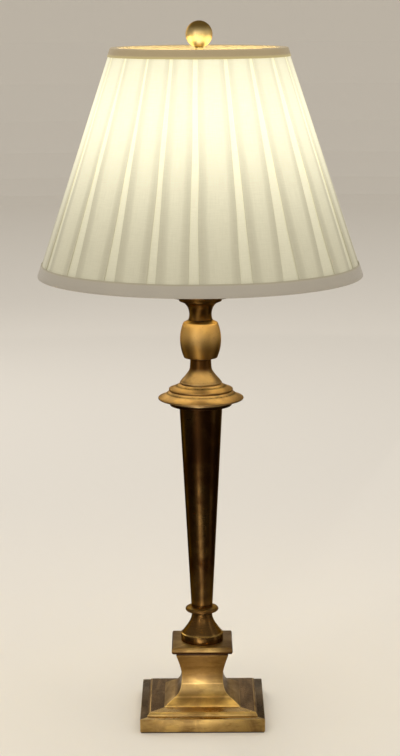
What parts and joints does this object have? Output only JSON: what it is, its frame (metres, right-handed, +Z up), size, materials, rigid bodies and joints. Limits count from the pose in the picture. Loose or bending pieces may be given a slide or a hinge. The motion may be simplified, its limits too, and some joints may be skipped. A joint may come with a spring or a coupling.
{
  "type": "candlestick table lamp with shade",
  "caption": "Brass candlestick table lamp on a square stepped foot, with a turn-switch socket, bulb, harp, pleated cone shade and ball finial.",
  "frame": {"origin": "centre of the square foot on the surface it stands on", "axes": "+Z up along the stem, -Y towards the front with the switch, +X to the right seen from the front"},
  "size_m": [0.3556, 0.3556, 0.7747],
  "materials": {
    "felt": "matt wool felt",
    "foot_brass": "worn cast brass, bright on the edges and brown in the hollows",
    "dark_brass": "dark brown patina, satin to glossy",
    "gold_brass": "half polished brass with a brown patina",
    "fitting_brass": "drawn brass, clear",
    "finial_brass": "polished brass",
    "steel": "zinc plated",
    "iron": "rough casting",
    "bushing_plastic": "moulded",
    "fibre_board": "pressed fibre",
    "black_plastic": "moulded",
    "bulb_white_glass": "white coated inside",
    "bulb_aluminium": "rolled sheet",
    "bulb_insulator": "black glass with a solder tip",
    "white_wire": "white enamel",
    "shade_lining_cloth": "smooth lining",
    "shade_cloth": "fine cloth in box pleats",
    "shade_braid": "woven tape"
  },
  "bodies": {
    "lamp_body": {"base_felt": "felt", "base_plinth": "foot_brass", "cord_bushing": "bushing_plastic", "base_weight": "iron", "base_washer": "steel", "base_lock_washer": "steel", "base_nut": "steel", "lamp_pipe": "steel", "pedestal": "foot_brass", "pedestal_cap": "foot_brass", "foot_bell": "dark_brass", "bead_ring": "dark_brass", "column": "dark_brass", "under_ring": "dark_brass", "drip_disc": "gold_brass", "tier_disc": "gold_brass", "bell_neck": "dark_brass", "barrel": "gold_brass", "candle_cup": "dark_brass", "drip_pan": "dark_brass", "harp_saddle": "fitting_brass", "saddle_nut": "steel", "socket_cap": "fitting_brass", "set_screw": "steel", "socket_shell": "fitting_brass", "insulating_sleeve": "fibre_board", "socket_interior": "black_plastic", "terminal_screws": "steel", "centre_contact": "fitting_brass", "screw_shell": "fitting_brass"},
    "switch": {"switch_stem": "black_plastic", "switch_knob": "black_plastic"},
    "bulb": {"bulb_glass": "bulb_white_glass", "bulb_cap": "bulb_aluminium", "bulb_contact": "bulb_insulator"},
    "harp": {"harp_bow": "fitting_brass"},
    "sleeve_left": {"harp_sleeve_left": "fitting_brass"},
    "sleeve_right": {"harp_sleeve_right": "fitting_brass"},
    "swivel": {"harp_swivel": "fitting_brass"},
    "shade": {"shade_spider": "fitting_brass", "shade_top_ring": "white_wire", "shade_bottom_ring": "white_wire", "shade_struts": "white_wire", "shade_lining": "shade_lining_cloth", "shade_cover": "shade_cloth", "shade_top_trim": "shade_braid", "shade_bottom_trim": "shade_braid"},
    "finial": {"finial_base": "finial_brass", "finial_ball": "finial_brass"}
  },
  "joints": [
    {"name": "switch_turn", "type": "hinge", "parent": "lamp_body", "child": "switch", "pos_m": [0, -0.03, 0.50905], "axis": [0, 1, 0], "continuous": true},
    {"name": "bulb_turn", "type": "hinge", "parent": "lamp_body", "child": "bulb", "pos_m": [0, 0, 0.54], "axis": [0, 0, 1], "continuous": true},
    {"name": "harp_lift", "type": "slide", "parent": "lamp_body", "child": "harp", "axis": [0, 0, 1], "range_m": [0, 0.03]},
    {"name": "sleeve_left_lift", "type": "slide", "parent": "harp", "child": "sleeve_left", "axis": [0, 0, 1], "range_m": [0, 0.012]},
    {"name": "sleeve_right_lift", "type": "slide", "parent": "harp", "child": "sleeve_right", "axis": [0, 0, 1], "range_m": [0, 0.012]},
    {"name": "shade_turn", "type": "hinge", "parent": "harp", "child": "swivel", "pos_m": [0, 0, 0.73], "axis": [0, 0, 1], "continuous": true},
    {"name": "shade_lift", "type": "slide", "parent": "swivel", "child": "shade", "axis": [0, 0, 1], "range_m": [0, 0.27]},
    {"name": "finial_turn", "type": "hinge", "parent": "shade", "child": "finial", "pos_m": [0, 0, 0.745], "axis": [0, 0, 1], "continuous": true}
  ]
}
